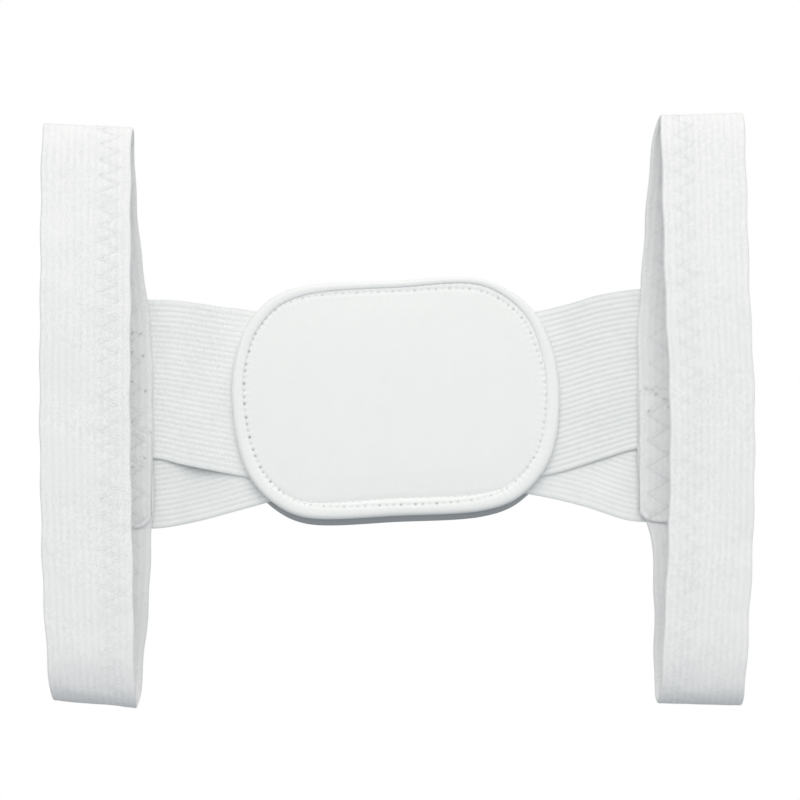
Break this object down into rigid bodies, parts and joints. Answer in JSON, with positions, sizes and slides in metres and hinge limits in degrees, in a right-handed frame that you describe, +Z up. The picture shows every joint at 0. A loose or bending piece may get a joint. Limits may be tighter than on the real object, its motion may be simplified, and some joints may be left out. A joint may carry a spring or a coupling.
{
  "type": "posture corrector",
  "caption": "Worn posture corrector: stitched foam back pad, crossed ribbed elastic legs and an open knit loop for each shoulder.",
  "frame": {"origin": "on the wearer-side face of the pad, near its middle, where it lies on the wearer's back", "axes": "+X towards the loop at the viewer's right, -Y out of the pad's face towards the wearer, +Z up"},
  "size_m": [0.3331, 0.0509, 0.2812],
  "materials": {
    "pad_face": "smooth coated cloth over foam, matt with a faint sheen",
    "binding_tape": "rolled coated tape with a stitched seam",
    "backing": "plain close weave",
    "ribbed_elastic": "woven elastic with lengthwise ribs",
    "knit_strap": "soft brushed knit with lengthwise wales and zigzag stitching"
  },
  "bodies": {
    "root": {"pad_front": "pad_face", "pad_binding": "binding_tape", "pad_back": "backing", "band_left_upper": "ribbed_elastic", "band_left_lower": "ribbed_elastic", "band_right_upper": "ribbed_elastic", "band_right_lower": "ribbed_elastic", "shoulder_loop_left": "knit_strap", "shoulder_loop_right": "knit_strap", "strap_overlap_left": "knit_strap", "strap_overlap_right": "knit_strap"}
  },
  "joints": []
}
